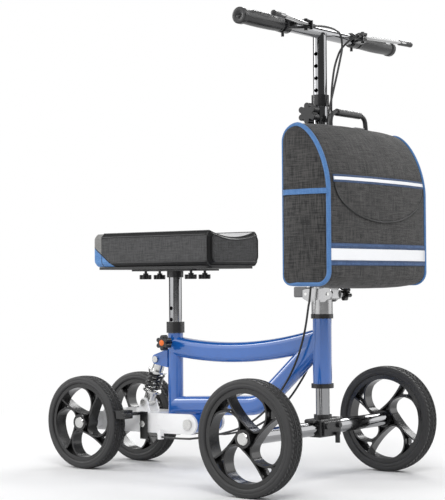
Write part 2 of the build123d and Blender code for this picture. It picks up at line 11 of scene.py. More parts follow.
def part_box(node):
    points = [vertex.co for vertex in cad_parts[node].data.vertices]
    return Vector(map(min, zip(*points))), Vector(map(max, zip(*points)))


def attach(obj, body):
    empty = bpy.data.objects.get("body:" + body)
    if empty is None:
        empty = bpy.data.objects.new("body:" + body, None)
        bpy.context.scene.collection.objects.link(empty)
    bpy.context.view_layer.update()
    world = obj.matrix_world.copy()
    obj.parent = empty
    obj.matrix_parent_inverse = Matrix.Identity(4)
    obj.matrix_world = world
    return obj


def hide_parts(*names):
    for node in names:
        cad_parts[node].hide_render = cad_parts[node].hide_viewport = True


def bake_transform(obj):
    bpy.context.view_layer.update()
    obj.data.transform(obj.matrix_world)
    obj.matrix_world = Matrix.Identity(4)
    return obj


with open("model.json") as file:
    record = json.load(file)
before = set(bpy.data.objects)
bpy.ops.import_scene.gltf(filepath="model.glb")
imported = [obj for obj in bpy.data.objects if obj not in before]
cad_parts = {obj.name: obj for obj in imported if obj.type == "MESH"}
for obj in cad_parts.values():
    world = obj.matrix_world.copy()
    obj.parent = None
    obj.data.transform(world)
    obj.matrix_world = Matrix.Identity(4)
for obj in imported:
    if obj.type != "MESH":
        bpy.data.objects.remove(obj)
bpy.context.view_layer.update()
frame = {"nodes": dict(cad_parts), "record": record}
cadNodes = frame["nodes"]
scene = bpy.context.scene


def corners(node):
    low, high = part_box(node)
    return np.array(low), np.array(high)


def middleOf(node):
    low, high = corners(node)
    return (low + high) / 2


stemX = middleOf("stem_outer_tube")[0]  # steering axis
seatX = middleOf("seat_post")[0]
barZ = middleOf("grip_left")[2]


# meshes from arrays

def gridFaces(rows, columns, closeRows=False, closeColumns=False):
    # quad indices of a grid of points numbered row by row
    r = np.arange(rows if closeRows else rows - 1)
    c = np.arange(columns if closeColumns else columns - 1)
    r, c = np.meshgrid(r, c, indexing="ij")
    nextR, nextC = (r + 1) % rows, (c + 1) % columns
    start, below = r * columns, nextR * columns
    quads = np.stack([start + c, below + c, below + nextC, start + nextC], -1)
    return quads.reshape(-1, 4)


def meshObject(name, points, faces, material, smooth=True):
    mesh = bpy.data.meshes.new(name)
    mesh.from_pydata(points.reshape(-1, 3).tolist(), [], faces.tolist())
    mesh.polygons.foreach_set("use_smooth", np.full(len(mesh.polygons), smooth))
    mesh.materials.append(material)
    piece = bpy.data.objects.new(name, mesh)
    scene.collection.objects.link(piece)
    return piece


def addUv(piece, uv):
    # uv holds one pair for each vertex, in metres of cloth
    layer = piece.data.uv_layers.new(name="cloth")
    loopVertex = np.empty(len(piece.data.loops), dtype=np.int32)
    piece.data.loops.foreach_get("vertex_index", loopVertex)
    layer.data.foreach_set("uv", uv.reshape(-1, 2)[loopVertex].ravel())


def gridPiece(name, points, material, closeRows=False, closeColumns=False, uv=None, smooth=True):
    rows, columns = points.shape[:2]
    piece = meshObject(name, points, gridFaces(rows, columns, closeRows, closeColumns), material, smooth)
    if uv is not None:
        addUv(piece, uv)
    return piece


def sealAndTurnOut(piece, distance=1e-5):
    # joins doubled points at seams and poles, then turns every face outwards
    work = bmesh.new()
    work.from_mesh(piece.data)
    bmesh.ops.remove_doubles(work, verts=work.verts, dist=distance)
    bmesh.ops.recalc_face_normals(work, faces=work.faces)
    work.to_mesh(piece.data)
    work.free()
    return piece


def turnTowards(piece, direction):
    # joins the doubled points of an open patch and makes it face the given way
    work = bmesh.new()
    work.from_mesh(piece.data)
    bmesh.ops.remove_doubles(work, verts=work.verts, dist=1e-6)
    work.normal_update()
    if sum((face.normal for face in work.faces), Vector()).dot(Vector(direction)) < 0:
        bmesh.ops.reverse_faces(work, faces=work.faces)
    work.to_mesh(piece.data)
    work.free()


def fasten(piece, body):
    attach(piece, body)


def applyModifiers(piece):
    graph = bpy.context.evaluated_depsgraph_get()
    mesh = bpy.data.meshes.new_from_object(piece.evaluated_get(graph), preserve_all_data_layers=True,
                                           depsgraph=graph)
    old, piece.data = piece.data, mesh
    piece.modifiers.clear()
    bpy.data.meshes.remove(old)
    return piece


def thicken(piece, thickness, offset=1.0):
    solid = piece.modifiers.new("wall", "SOLIDIFY")
    solid.thickness, solid.offset = thickness, offset
    return applyModifiers(piece)


def tubePiece(name, points, radius, material, cyclic=False, order=3, sides=4, radii=None):
    # round tube along a NURBS line; radii can swell it from point to point
    curve = bpy.data.curves.new(name, "CURVE")
    curve.dimensions = "3D"
    curve.bevel_depth, curve.bevel_resolution = radius, sides
    curve.resolution_u, curve.use_fill_caps = 8, not cyclic
    spline = curve.splines.new("NURBS")
    spline.points.add(len(points) - 1)
    spline.points.foreach_set("co", np.c_[np.array(points), np.ones(len(points))].ravel())
    if radii is not None:
        spline.points.foreach_set("radius", np.array(radii, dtype=float))
    spline.order_u = min(order, len(points))
    spline.use_cyclic_u, spline.use_endpoint_u = cyclic, not cyclic
    holder = bpy.data.objects.new(name + "Line", curve)
    scene.collection.objects.link(holder)
    graph = bpy.context.evaluated_depsgraph_get()
    mesh = bpy.data.meshes.new_from_object(holder.evaluated_get(graph), depsgraph=graph)
    bpy.data.objects.remove(holder)
    bpy.data.curves.remove(curve)
    mesh.name = name
    mesh.materials.clear()
    mesh.materials.append(material)
    mesh.polygons.foreach_set("use_smooth", np.ones(len(mesh.polygons), dtype=bool))
    piece = bpy.data.objects.new(name, mesh)
    scene.collection.objects.link(piece)
    return sealAndTurnOut(piece)


def turned(name, profile, centre, axis, material, segments=64, smooth=True):
    # profile rows are (distance along the axis, radius), spun about the axis through centre
    axis = np.array(axis, dtype=float)
    side = np.cross(axis, (0, 0, 1.0) if abs(axis[2]) < 0.9 else (1.0, 0, 0))
    side /= np.linalg.norm(side)
    other = np.cross(axis, side)
    angle = fullTurn(segments)
    profile = np.array(profile, dtype=float)
    spin = np.cos(angle)[:, None] * side + np.sin(angle)[:, None] * other
    points = (np.array(centre) + profile[:, None, :1] * axis + profile[:, None, 1:] * spin)
    piece = gridPiece(name, points, material, closeColumns=True, smooth=smooth)
    return sealAndTurnOut(piece)


def stacked(*arrays):
    return np.stack(np.broadcast_arrays(*arrays), -1)


def smoothStep(x, low, high):
    t = np.clip((x - low) / (high - low), 0, 1)
    return t * t * (3 - 2 * t)


def fullTurn(count):
    return np.linspace(0, 2 * np.pi, count, endpoint=False)


def rounded(share):
    # quarter circle from 0 to 1, for ends that close round
    return np.sqrt(np.clip(1 - (1 - np.clip(share, 0, 1)) ** 2, 0, 1))


def ripples(a, b, seed, waves=9, low=8.0, high=40.0):
    # sum of a few seeded sine waves across two coordinates in metres, about -1 to 1
    rng = np.random.default_rng(seed)
    total = np.zeros(np.broadcast(a, b).shape)
    for _ in range(waves):
        angle, frequency, phase = rng.uniform(0, np.pi), rng.uniform(low, high), rng.uniform(0, 2 * np.pi)
        total += np.sin(2 * np.pi * frequency * (a * np.cos(angle) + b * np.sin(angle)) + phase) / waves
    return total * 1.6


# shared effects

def link(tree, start, end):
    tree.links.new(start, end)


def addNode(tree, kind, **values):
    node = tree.nodes.new(kind)
    for key, value in values.items():
        if hasattr(node, key):
            setattr(node, key, value)
        else:
            node.inputs[key.replace("_", " ")].default_value = value
    return node


def mathNode(tree, operation, first, second=None, third=None, clamp=False):
    node = tree.nodes.new("ShaderNodeMath")
    node.operation, node.use_clamp = operation, clamp
    for socket, value in zip(node.inputs, (first, second, third)):
        if isinstance(value, (int, float)):
            socket.default_value = value
        elif value is not None:
            link(tree, value, socket)
    return node.outputs[0]


def startGroup(name, inputs, outputs):
    group = bpy.data.node_groups.new(name, "ShaderNodeTree")
    for title, default in inputs:
        kind = "NodeSocketVector" if default is None else "NodeSocketFloat"
        socket = group.interface.new_socket(name=title, in_out="INPUT", socket_type=kind)
        if default is not None:
            socket.default_value = default
    for title in outputs:
        group.interface.new_socket(name=title, in_out="OUTPUT", socket_type="NodeSocketFloat")
    return group, group.nodes.new("NodeGroupInput"), group.nodes.new("NodeGroupOutput")


def scaledNoise(tree, vector, stretch, scale, detail=3.0, rough=0.55):
    mapping = addNode(tree, "ShaderNodeMapping")
    mapping.inputs["Scale"].default_value = stretch
    link(tree, vector, mapping.inputs["Vector"])
    noise = addNode(tree, "ShaderNodeTexNoise", Detail=detail, Roughness=rough)
    link(tree, mapping.outputs[0], noise.inputs["Vector"])
    if isinstance(scale, (int, float)):
        noise.inputs["Scale"].default_value = scale
    else:
        link(tree, scale, noise.inputs["Scale"])
    return noise.outputs["Fac"]


def buildGrain():
    # fine moulded grain or orange peel, with a slow blotch that varies the gloss
    inputs = (("Vector", None), ("Scale", 900.0), ("Blotch Scale", 22.0))
    group, start, end = startGroup("surfaceGrain", inputs, ("Height", "Blotch"))
    fine = scaledNoise(group, start.outputs["Vector"], (1, 1, 1), start.outputs["Scale"], 4.0)
    slow = scaledNoise(group, start.outputs["Vector"], (1, 1, 1), start.outputs["Blotch Scale"], 5.0, 0.62)
    link(group, fine, end.inputs["Height"])
    link(group, slow, end.inputs["Blotch"])
    return group


def buildWeave():
    # plain weave: threads along u and v raised in turn, plus heather streaks along both thread directions
    group, start, end = startGroup("clothWeave", (("Vector", None), ("Threads", 700.0), ("Streak", 260.0)),
                                   ("Height", "Heather"))
    parts = addNode(group, "ShaderNodeSeparateXYZ")
    link(group, start.outputs["Vector"], parts.inputs[0])
    phases = [mathNode(group, "MULTIPLY", parts.outputs[i], start.outputs["Threads"]) for i in (0, 1)]
    waves = [mathNode(group, "SINE", mathNode(group, "MULTIPLY", phase, 2 * math.pi)) for phase in phases]
    crossing = mathNode(group, "MULTIPLY", waves[0], waves[1])
    link(group, mathNode(group, "MULTIPLY_ADD", crossing, 0.5, 0.5), end.inputs["Height"])
    warp = scaledNoise(group, start.outputs["Vector"], (1.0, 0.09, 1), start.outputs["Streak"], 2.0, 0.7)
    weft = scaledNoise(group, start.outputs["Vector"], (0.09, 1.0, 1), start.outputs["Streak"], 2.0, 0.7)
    both = mathNode(group, "ADD", warp, weft)
    link(group, mathNode(group, "MULTIPLY_ADD", both, 2.6, -2.1, clamp=True), end.inputs["Heather"])
    return group


def buildDust():
    # light dust that settles on faces that look up, broken by noise
    group, start, end = startGroup("settledDust", (("Vector", None), ("Amount", 0.3)), ("Mask",))
    geometry = addNode(group, "ShaderNodeNewGeometry")
    parts = addNode(group, "ShaderNodeSeparateXYZ")
    link(group, geometry.outputs["Normal"], parts.inputs[0])
    patch = scaledNoise(group, start.outputs["Vector"], (1, 1, 1), 60.0, 6.0, 0.7)
    up = mathNode(group, "MULTIPLY_ADD", parts.outputs[2], 0.6, 0.25, clamp=True)
    mask = mathNode(group, "MULTIPLY", up, patch)
    link(group, mathNode(group, "MULTIPLY", mask, start.outputs["Amount"], clamp=True), end.inputs["Mask"])
    return group


grainGroup, weaveGroup, dustGroup = buildGrain(), buildWeave(), buildDust()


def useGroup(tree, group, vector, **values):
    node = tree.nodes.new("ShaderNodeGroup")
    node.node_tree = group
    link(tree, vector, node.inputs["Vector"])
    for key, value in values.items():
        node.inputs[key.replace("_", " ")].default_value = value
    return node


def ramp(tree, factor, low, high, start=0.3, end=0.7):
    node = tree.nodes.new("ShaderNodeMapRange")
    link(tree, factor, node.inputs["Value"])
    for title, value in (("From Min", start), ("From Max", end), ("To Min", low), ("To Max", high)):
        node.inputs[title].default_value = value
    return node.outputs[0]


def mixColor(tree, factor, first, second):
    node = tree.nodes.new("ShaderNodeMix")
    node.data_type, node.clamp_factor = "RGBA", True
    if isinstance(factor, (int, float)):
        node.inputs[0].default_value = factor
    else:
        link(tree, factor, node.inputs[0])
    for socket, value in ((node.inputs[6], first), (node.inputs[7], second)):
        if isinstance(value, tuple):
            socket.default_value = (*value[:3], 1)
        else:
            link(tree, value, socket)
    return node.outputs[2]


def newMaterial(name, **values):
    material = bpy.data.materials.new(name)
    material.use_nodes = True
    tree = material.node_tree
    shader = tree.nodes["Principled BSDF"]
    for key, value in values.items():
        shader.inputs[key.replace("_", " ")].default_value = value
    return material, tree, shader


def bumpFrom(tree, shader, height, strength, distance):
    bump = addNode(tree, "ShaderNodeBump", Strength=strength, Distance=distance)
    link(tree, height, bump.inputs["Height"])
    link(tree, bump.outputs[0], shader.inputs["Normal"])
    return bump


def hardMaterial(name, look):
    # painted, plated or moulded surface: base colour, gloss that varies, fine grain and a little dust
    material, tree, shader = newMaterial(
        name, Metallic=look.get("metallic", 0.0), Coat_Weight=look.get("coat", 0.0), Coat_Roughness=0.05,
        Specular_IOR_Level=look.get("specular", 0.5))
    place = addNode(tree, "ShaderNodeTexCoord").outputs["Object"]
    grain = useGroup(tree, grainGroup, place, Scale=look["grain"], Blotch_Scale=look.get("blotch", 22.0))
    dust = useGroup(tree, dustGroup, place, Amount=look.get("dust", 0.12))
    shade = tuple(c * look.get("darker", 0.82) for c in look["color"])
    base = mixColor(tree, ramp(tree, grain.outputs["Blotch"], 0, 1), shade, look["color"])
    base = mixColor(tree, dust.outputs["Mask"], base, (0.34, 0.33, 0.31))
    link(tree, base, shader.inputs["Base Color"])
    gloss = look["rough"]
    link(tree, ramp(tree, grain.outputs["Blotch"], gloss * 0.8, gloss * 1.25), shader.inputs["Roughness"])
    bumpFrom(tree, shader, grain.outputs["Height"], look.get("bump", 0.1), look.get("depth", 0.0004))
    return material


hardLooks = {
    "frame_blue": dict(color=(0.01, 0.112, 0.44), darker=0.95, rough=0.15, coat=1.0, specular=0.7,
                       grain=420.0, bump=0.03, dust=0.0),
    "black_chrome": dict(color=(0.3, 0.302, 0.31), darker=0.95, rough=0.09, metallic=1.0, grain=700.0,
                         bump=0.01, dust=0.0),
    "black_paint": dict(color=(0.01, 0.01, 0.011), rough=0.26, grain=800.0, bump=0.08, dust=0.03),
    "grey_cast": dict(color=(0.42, 0.42, 0.425), rough=0.22, metallic=1.0, grain=1100.0, bump=0.03,
                      dust=0.02),
    "swing_silver": dict(color=(0.9, 0.9, 0.91), darker=0.96, rough=0.3, coat=0.5, grain=600.0, bump=0.04,
                         dust=0.0),
    "plated_steel": dict(color=(0.66, 0.66, 0.65), rough=0.2, metallic=1.0, grain=900.0, bump=0.05,
                         dust=0.02),
    "lever_alloy": dict(color=(0.44, 0.44, 0.44), rough=0.22, metallic=1.0, grain=1200.0, bump=0.06,
                        dust=0.02),
    "wheel_plastic": dict(color=(0.0065, 0.0065, 0.007), rough=0.22, grain=1000.0, bump=0.08, dust=0.02,
                          specular=0.6),
    "tyre_rubber": dict(color=(0.0155, 0.0155, 0.0165), rough=0.46, grain=1300.0, bump=0.22, dust=0.06,
                        specular=0.5),
    "knob_plastic": dict(color=(0.009, 0.009, 0.01), rough=0.3, grain=1300.0, bump=0.18, dust=0.04),
    "grip_rubber": dict(color=(0.008, 0.008, 0.009), rough=0.3, grain=1500.0, bump=0.25, dust=0.04,
                        specular=0.5),
    "board_plastic": dict(color=(0.008, 0.008, 0.009), rough=0.5, grain=900.0, bump=0.3, dust=0.05),
    "cable_black": dict(color=(0.009, 0.009, 0.01), rough=0.33, grain=1500.0, bump=0.08, dust=0.02),
    "orange_cap": dict(color=(0.86, 0.16, 0.012), rough=0.35, grain=900.0, bump=0.1, dust=0.03),
    "trim_vinyl": dict(color=(0.01, 0.01, 0.011), rough=0.38, grain=1600.0, bump=0.3, dust=0.04),
    "pad_vinyl": dict(color=(0.0045, 0.0045, 0.005), rough=0.5, grain=1600.0, bump=0.3, dust=0.0,
                      specular=0.25),
    "hinge_grey": dict(color=(0.15, 0.15, 0.155), rough=0.3, grain=1000.0, bump=0.12, dust=0.04,
                       coat=0.4),
}
materials = {name: hardMaterial(name, look) for name, look in hardLooks.items()}


def clothMaterial(name, dark, light, rough=0.85, streak=260.0, threads=900.0, bump=0.5, sheen=0.15):
    # woven cloth on the piece's own flat coordinates
    material, tree, shader = newMaterial(name, Roughness=rough, Sheen_Weight=sheen, Sheen_Roughness=0.5,
                                         Specular_IOR_Level=0.3)
    place = addNode(tree, "ShaderNodeUVMap", uv_map="cloth").outputs["UV"]
    weave = useGroup(tree, weaveGroup, place, Threads=threads, Streak=streak)
    grain = useGroup(tree, grainGroup, place, Scale=1600.0, Blotch_Scale=9.0)
    yarn = mixColor(tree, weave.outputs["Heather"], dark, light)
    faded = tuple(c * 0.86 for c in dark)
    base = mixColor(tree, ramp(tree, grain.outputs["Blotch"], 0.0, 0.35), yarn, faded)
    link(tree, base, shader.inputs["Base Color"])
    height = mathNode(tree, "MULTIPLY_ADD", grain.outputs["Height"], 0.4, weave.outputs["Height"])
    bumpFrom(tree, shader, height, bump, 0.0005)
    return material


clothLooks = {
    "bag_cloth": dict(dark=(0.0135, 0.0135, 0.014), light=(0.078, 0.075, 0.073), streak=330.0),
    "pad_cloth": dict(dark=(0.040, 0.040, 0.041), light=(0.092, 0.092, 0.094), streak=420.0),
    "blue_tape": dict(dark=(0.062, 0.165, 0.385), light=(0.105, 0.24, 0.50), streak=500.0, sheen=0.2),
    "dull_blue": dict(dark=(0.035, 0.075, 0.18), light=(0.075, 0.15, 0.32), streak=500.0),
    "navy_tape": dict(dark=(0.03, 0.06, 0.14), light=(0.07, 0.12, 0.24), streak=500.0),
    "webbing": dict(dark=(0.010, 0.010, 0.011), light=(0.026, 0.026, 0.028), streak=600.0),
    "grey_cloth": dict(dark=(0.17, 0.168, 0.162), light=(0.25, 0.247, 0.24), streak=500.0),
    # pale cloth for the knee pad's top: painted highlight, a light colour that stands in for the bright
    # sheen along the top
    "pale_cloth_painted_highlight": dict(dark=(0.58, 0.58, 0.585), light=(0.72, 0.72, 0.725), streak=500.0),
    "tab_grey": dict(dark=(0.42, 0.42, 0.43), light=(0.55, 0.55, 0.56), streak=500.0),
}
materials |= {name: clothMaterial(name, **look) for name, look in clothLooks.items()}


def buildReflector():
    # silver-white reflective tape with a fine bead grain
    material, tree, shader = newMaterial("reflective_tape", Specular_IOR_Level=0.6, Coat_Weight=0.4)
    place = addNode(tree, "ShaderNodeUVMap", uv_map="cloth").outputs["UV"]
    grain = useGroup(tree, grainGroup, place, Scale=2200.0, Blotch_Scale=30.0)
    base = mixColor(tree, ramp(tree, grain.outputs["Height"], 0, 1), (0.80, 0.81, 0.84), (0.93, 0.94, 0.96))
    link(tree, base, shader.inputs["Base Color"])
    link(tree, ramp(tree, grain.outputs["Blotch"], 0.28, 0.42), shader.inputs["Roughness"])
    bumpFrom(tree, shader, grain.outputs["Height"], 0.25, 0.0002)
    return material


materials["reflective_tape"] = buildReflector()
print("materials ready:", len(materials))


def finishCadNodes():
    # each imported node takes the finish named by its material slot
    slots = {entry["node"]: entry["material_slot"] for entry in frame["record"]["subparts"]}
    special = {"fold_lever": "hinge_grey"}
    for node, piece in cadNodes.items():
        finish = special.get(node, slots[node])
        for holder in piece.material_slots:
            holder.material = materials[finish]


finishCadNodes()


# tyres

tyreLook = {
    "around": 560, "across": 66, "treadShare": 0.84, "grooveAt": (-0.56, -0.19, 0.19, 0.56),
    "grooveHalf": 0.0013, "grooveDepth": 0.0032, "sipes": 70, "sipeHalf": 0.15, "sipeDepth": 0.0024,
    "sipeSlant": 0.55, "crown": 0.0012, "shoulder": 0.0042,
}


def tyreSection(half, outer, inner):
    # y and radius of the section, from one bead over the tread to the other; the sides swell a little
    look = tyreLook
    edge = half * look["treadShare"]
    y = np.linspace(-edge, edge, look["across"])
    crown = outer - look["crown"] * (y / edge) ** 2
    turn = np.linspace(0, np.pi / 2, 6)[1:]
    corner = look["shoulder"]
    shoulderY = edge + (half - edge) * np.sin(turn)
    shoulderR = outer - look["crown"] - corner * (1 - np.cos(turn))
    rise = np.linspace(shoulderR[-1], inner, 12)[1:]
    share = (rise - inner) / (shoulderR[-1] - inner)
    sideY = half + 0.0006 * np.sin(np.pi * share) - 0.0022 * (1 - smoothStep(share, 0.0, 0.16))
    sideY -= 0.0007 * (smoothStep(share, 0.60, 0.64) - smoothStep(share, 0.70, 0.74))
    halfY, halfR = np.r_[shoulderY, sideY], np.r_[shoulderR, rise]
    return np.r_[-halfY[::-1], y, halfY], np.r_[halfR[::-1], crown, halfR]


def addTyre(row, side):
    # the section spun about the axle, with grooves round the tread and slanted cuts across its ribs sunk in
    look = tyreLook
    node = f"{row}_tyre_{side}"
    low, high = corners(node)
    rimLow, rimHigh = corners(f"{row}_rim_{side}")
    centre, half, outer = (low + high) / 2, (high[1] - low[1]) / 2, (high[2] - low[2]) / 2
    inner = (rimHigh[2] - rimLow[2]) / 2
    y, radius = tyreSection(half, outer, inner)
    angle = fullTurn(look["around"])[:, None]
    across = y / (half * look["treadShare"])
    onTread = (np.abs(across) <= 1) * (radius > outer - look["crown"] * 1.01)
    distance = np.min([np.abs(across - g) for g in look["grooveAt"]], axis=0) * half * look["treadShare"]
    groove = 1 - smoothStep(distance, look["grooveHalf"] * 0.7, look["grooveHalf"] * 1.5)
    slant = look["sipeSlant"] * np.sin(np.pi * across) + 0.5 * (np.round(across * 1.3) % 2)
    phase = np.abs((angle / (2 * np.pi) * look["sipes"] + slant) % 1 - 0.5)
    sipe = smoothStep(phase, 0.5 - look["sipeHalf"], 0.5 - look["sipeHalf"] * 0.6)
    sipe = sipe * (np.abs(across) > 0.24)
    sunk = np.maximum(groove * look["grooveDepth"], sipe * look["sipeDepth"]) * onTread
    spun = radius - sunk
    points = np.stack([centre[0] + spun * np.sin(angle), centre[1] + y + 0 * angle,
                       centre[2] + spun * np.cos(angle)], -1)
    piece = gridPiece(f"tyre_{row}_{side}", points, materials["tyre_rubber"], closeRows=True,
                      closeColumns=True)
    sealAndTurnOut(piece)
    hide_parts(node)
    fasten(piece, f"{row}_wheel_{side}")


for wheelRow in ("front", "rear"):
    for wheelSide in ("left", "right"):
        addTyre(wheelRow, wheelSide)
print("tyres done")


# shock spring

springLook = {"turns": 4.5, "coilR": 0.0170, "wireR": 0.0024, "stepsPerTurn": 40, "sides": 12, "dead": 0.75}


def addSpring():
    # helix about the shock's own line; its end turns lie flat, and the wire is a ring carried along it
    look = springLook
    eyeTop = np.array([seatX - 0.043, 0, 0.243])
    eyeFoot = np.array([seatX - 0.079, 0, 0.146])
    axis = (eyeTop - eyeFoot) / np.linalg.norm(eyeTop - eyeFoot)
    lowEnd, highEnd = 0.030 + look["wireR"], np.linalg.norm(eyeTop - eyeFoot) - 0.030 - look["wireR"]
    t = np.linspace(0, 1, int(look["turns"] * look["stepsPerTurn"]) + 1)
    turnsSoFar = t * look["turns"]
    climb = smoothStep(turnsSoFar, -0.6, look["dead"])
    climb = climb * smoothStep(look["turns"] - turnsSoFar, -0.6, look["dead"])
    height = np.cumsum(np.r_[0, climb[1:]])
    height = lowEnd + (highEnd - lowEnd) * height / height[-1]
    side = np.array([0, 1.0, 0])
    other = np.cross(axis, side)
    angle = 2 * np.pi * turnsSoFar[:, None]
    radial = np.cos(angle) * side + np.sin(angle) * other
    path = eyeFoot + height[:, None] * axis + look["coilR"] * radial
    ring = fullTurn(look["sides"])[None, :, None]
    points = path[:, None] + look["wireR"] * (np.cos(ring) * radial[:, None] + np.sin(ring) * axis)
    piece = gridPiece("shock_coil", points, materials["black_paint"], closeColumns=True)
    ends = bmesh.new()
    ends.from_mesh(piece.data)
    bmesh.ops.holes_fill(ends, edges=ends.edges)
    bmesh.ops.recalc_face_normals(ends, faces=ends.faces)
    ends.to_mesh(piece.data)
    ends.free()
    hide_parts("shock_spring")
    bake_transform(piece)


addSpring()
print("spring done")


# brake cables across the joints

cableLook = {"radius": 0.00232, "steps": 24}


def addCableBridge(name, start, end, bodies):
    # short length that keeps the cable whole where it passes from one body to the next
    start, end = np.array(start), np.array(end)
    share = np.linspace(0, 1, cableLook["steps"])[:, None]
    points = start + (end - start) * share
    piece = tubePiece(name, points, cableLook["radius"], materials["cable_black"], sides=3)
    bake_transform(piece)


bridges = {
    "bar_right": ((0.024, -0.009, 0.737), (0.023, -0.009, 0.623), ("handlebar", "stem")),
    "bar_left": ((0.022, 0.009, 0.737), (0.023, 0.009, 0.623), ("handlebar", "stem")),
    "fold_right": ((-0.005, -0.032, 0.4125), (-0.0052, -0.032, 0.4025), ("stem", "steering")),
    "fold_left": ((-0.005, 0.032, 0.4125), (-0.0052, 0.032, 0.4025), ("stem", "steering")),
    "column_right": ((-0.0088, -0.032, 0.3725), (-0.0113, -0.032, 0.3625), ("steering", "frame")),
    "column_left": ((-0.0088, 0.032, 0.3725), (-0.0113, 0.032, 0.3625), ("steering", "frame")),
    "swing_right": ((-0.2865, -0.0565, 0.0803), (-0.3040, -0.0600, 0.0779), ("frame", "swingarm")),
    "swing_left": ((-0.2865, 0.0565, 0.0803), (-0.3040, 0.0600, 0.0779), ("frame", "swingarm")),
}
for bridgeName, (bridgeStart, bridgeEnd, bridgeBodies) in bridges.items():
    shifted = [tuple(np.array(point) + (stemX, 0, 0)) for point in (bridgeStart, bridgeEnd)]
    addCableBridge(f"cable_{bridgeName}", *shifted, bridgeBodies)
print("cables joined")


# grips and levers

gripLook = {
    "around": 96, "along": 150, "flange": 0.0022, "ovalRise": 0.0013, "ribRise": 0.0005, "barrel": 0.0010,
    "edge": 0.0016,
}


def addGrip(side):
    # radius as a function of the place along the grip and the angle: barrel, end flange, ribs, raised oval
    look = gripLook
    node = f"grip_{side}"
    low, high = corners(node)
    centre = (low + high) / 2
    sign = 1 if side == "left" else -1
    length = high[1] - low[1]
    outer = (high[2] - low[2]) / 2
    body = outer - look["flange"]
    t = np.linspace(0, 1, look["along"])[:, None]
    angle = fullTurn(look["around"])[None, :]
    radius = body + look["barrel"] * np.sin(np.pi * np.clip(t / 0.9, 0, 1)) - 0.0006
    radius = radius + look["flange"] * smoothStep(t, 0.90, 0.93) + 0.0008 * (1 - smoothStep(t, 0.03, 0.05))
    lengthwise = np.sin(np.pi * np.clip((t - 0.10) / 0.78, 0, 1)) ** 0.4
    ribs = np.maximum(0, np.cos(angle * 18)) * (np.cos(angle) < 0.3)
    radius = radius + look["ribRise"] * lengthwise * ribs
    oval = ((t - 0.48) / 0.30) ** 2 + (np.angle(np.exp(1j * (angle - 0.9))) / 0.62) ** 2
    radius = radius + look["ovalRise"] * (1 - smoothStep(oval, 0.75, 1.0))
    ends = np.minimum(t, 1 - t) * length
    radius = radius - look["edge"] * (1 - rounded(ends / look["edge"]))
    y = (low[1] + t * length) if sign > 0 else (high[1] - t * length)
    points = np.stack([centre[0] + radius * np.cos(angle), y + 0 * angle, barZ + radius * np.sin(angle)], -1)
    boreR = 0.0112
    inner = np.stack([centre[0] + boreR * np.cos(angle[0]), np.full(look["around"], y[0, 0]),
                      barZ + boreR * np.sin(angle[0])], -1)
    endRings = [0.012, 0.0035, 0.0034]
    sunk = [0.0, 0.0, 0.004]
    caps = [np.stack([centre[0] + r * np.cos(angle[0]), np.full(look["around"], y[-1, 0] - sign * s),
                      barZ + r * np.sin(angle[0])], -1) for r, s in zip(endRings, sunk)]
    middle = np.tile([centre[0], y[-1, 0] - sign * 0.004, barZ], (look["around"], 1))
    points = np.concatenate([inner[None], points, np.array(caps), middle[None]])
    piece = gridPiece(f"rubber_{node}", points, materials["grip_rubber"], closeColumns=True)
    sealAndTurnOut(piece)
    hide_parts(node)
    fasten(piece, "handlebar")


leverLook = {"along": 90, "around": 28, "root": 0.0070, "waist": 0.0052, "tip": 0.0056, "thick": 0.0036,
             "pivotX": 0.038, "pivotY": 0.104, "tipX": 0.066}


def addLever(side):
    # rounded blade: an oval section carried along a curved line from the pivot to the ball end
    look = leverLook
    node = f"brake_lever_{side}"
    low, high = corners(node)
    sign = 1 if side == "left" else -1
    reach = (high[1] if sign > 0 else -low[1]) - look["pivotY"] - 0.006
    z = (low[2] + high[2]) / 2
    t = np.linspace(0, 1, look["along"])
    x = look["pivotX"] + (look["tipX"] - look["pivotX"]) * smoothStep(t, -0.5, 1.25) ** 0.9
    x = x + (look["pivotX"] - x[0]) * (1 - t) + 0.003 * np.sin(np.pi * t)
    y = look["pivotY"] - 0.004 + reach * t
    tangent = np.stack([np.gradient(x), np.gradient(y)], -1)
    tangent /= np.linalg.norm(tangent, axis=1, keepdims=True)
    across = np.stack([tangent[:, 1], -tangent[:, 0]], -1)
    width = look["root"] + (look["waist"] - look["root"]) * smoothStep(t, 0.02, 0.3)
    width = width + (look["tip"] - look["waist"]) * smoothStep(t, 0.4, 0.95)
    close = rounded(np.minimum(t * 14, (1 - t) * 24))
    angle = fullTurn(look["around"])
    flat = np.sign(np.cos(angle)) * np.abs(np.cos(angle)) ** 0.75
    tall = np.sign(np.sin(angle)) * np.abs(np.sin(angle)) ** 0.75
    wide = (width * close)[:, None] * flat
    points = np.stack([stemX + x[:, None] + wide * across[:, :1],
                       sign * (y[:, None] + wide * across[:, 1:]),
                       z + look["thick"] * close[:, None] * tall], -1)
    blade = sealAndTurnOut(gridPiece(f"blade_{side}", points, materials["lever_alloy"], closeColumns=True))
    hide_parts(node)
    fasten(blade, f"lever_{side}")
    # soft black cap over the last stretch and its ball end
    s = np.linspace(0, 1, 40)
    start = np.array([stemX + np.interp(0.74, t, x), sign * np.interp(0.74, t, y), z])
    end = np.array([stemX + look["tipX"], sign * (look["pivotY"] + reach + 0.004), z])
    along = (end - start) / np.linalg.norm(end - start)
    length = np.linalg.norm(end - start)
    radius = 0.0056 + 0.0003 * smoothStep(s, 0.75, 0.9)
    radius = radius * rounded(np.minimum(s / 0.06, (1 - s) / 0.13))
    profile = np.stack([s * (length + 0.002), radius], -1)
    cap = turned(f"lever_cap_{side}", profile, start, along, materials["knob_plastic"], 40)
    fasten(cap, f"lever_{side}")


for hand in ("left", "right"):
    addGrip(hand)
    addLever(hand)
print("handlebar dressed")


# front bag

